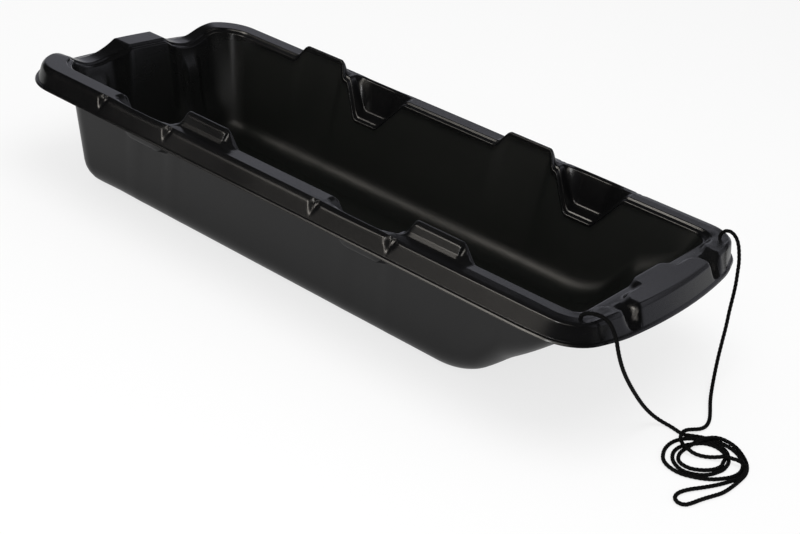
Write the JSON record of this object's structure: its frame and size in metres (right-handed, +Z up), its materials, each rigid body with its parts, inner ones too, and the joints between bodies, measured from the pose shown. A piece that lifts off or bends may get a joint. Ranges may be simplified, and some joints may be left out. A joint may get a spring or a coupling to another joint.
{
  "type": "utility sled",
  "caption": "Black moulded tub sled with a raked bow, flared rim, raised tabs, hand pockets and a tow rope, for hauling gear over snow.",
  "frame": {"origin": "on the ground under the middle of the sled", "axes": "+X to the bow, where the rope is tied, +Y to the left side, +Z up"},
  "size_m": [1.7618, 0.688, 0.291],
  "materials": {
    "moulded_sheet": "black moulded polyethylene sheet with a fine matt grain and softly shining edges",
    "rope": "black braided rope"
  },
  "bodies": {
    "root": {"floor_pan": "moulded_sheet", "side_wall_right": "moulded_sheet", "side_wall_left": "moulded_sheet", "bow_ramp": "moulded_sheet", "bow_corner_right": "moulded_sheet", "bow_corner_left": "moulded_sheet", "stern_wall": "moulded_sheet", "stern_corner_right": "moulded_sheet", "stern_corner_left": "moulded_sheet", "chine_right": "moulded_sheet", "chine_left": "moulded_sheet", "side_land_right": "moulded_sheet", "side_land_left": "moulded_sheet", "side_skirt_right": "moulded_sheet", "side_skirt_left": "moulded_sheet", "bow_deck": "moulded_sheet", "bow_rim_corner_right": "moulded_sheet", "bow_rim_corner_left": "moulded_sheet", "stern_rail": "moulded_sheet", "stern_rim_corner_right": "moulded_sheet", "stern_rim_corner_left": "moulded_sheet", "pocket_right_a": "moulded_sheet", "pocket_right_b": "moulded_sheet", "pocket_left_a": "moulded_sheet", "pocket_left_b": "moulded_sheet", "tab_right_a": "moulded_sheet", "tab_right_b": "moulded_sheet", "tab_left_a": "moulded_sheet", "tab_left_b": "moulded_sheet", "rope_leg_right": "rope", "rope_leg_left": "rope", "rope_coil": "rope", "rope_loop": "rope", "knot_right": "rope", "knot_left": "rope"}
  },
  "joints": []
}
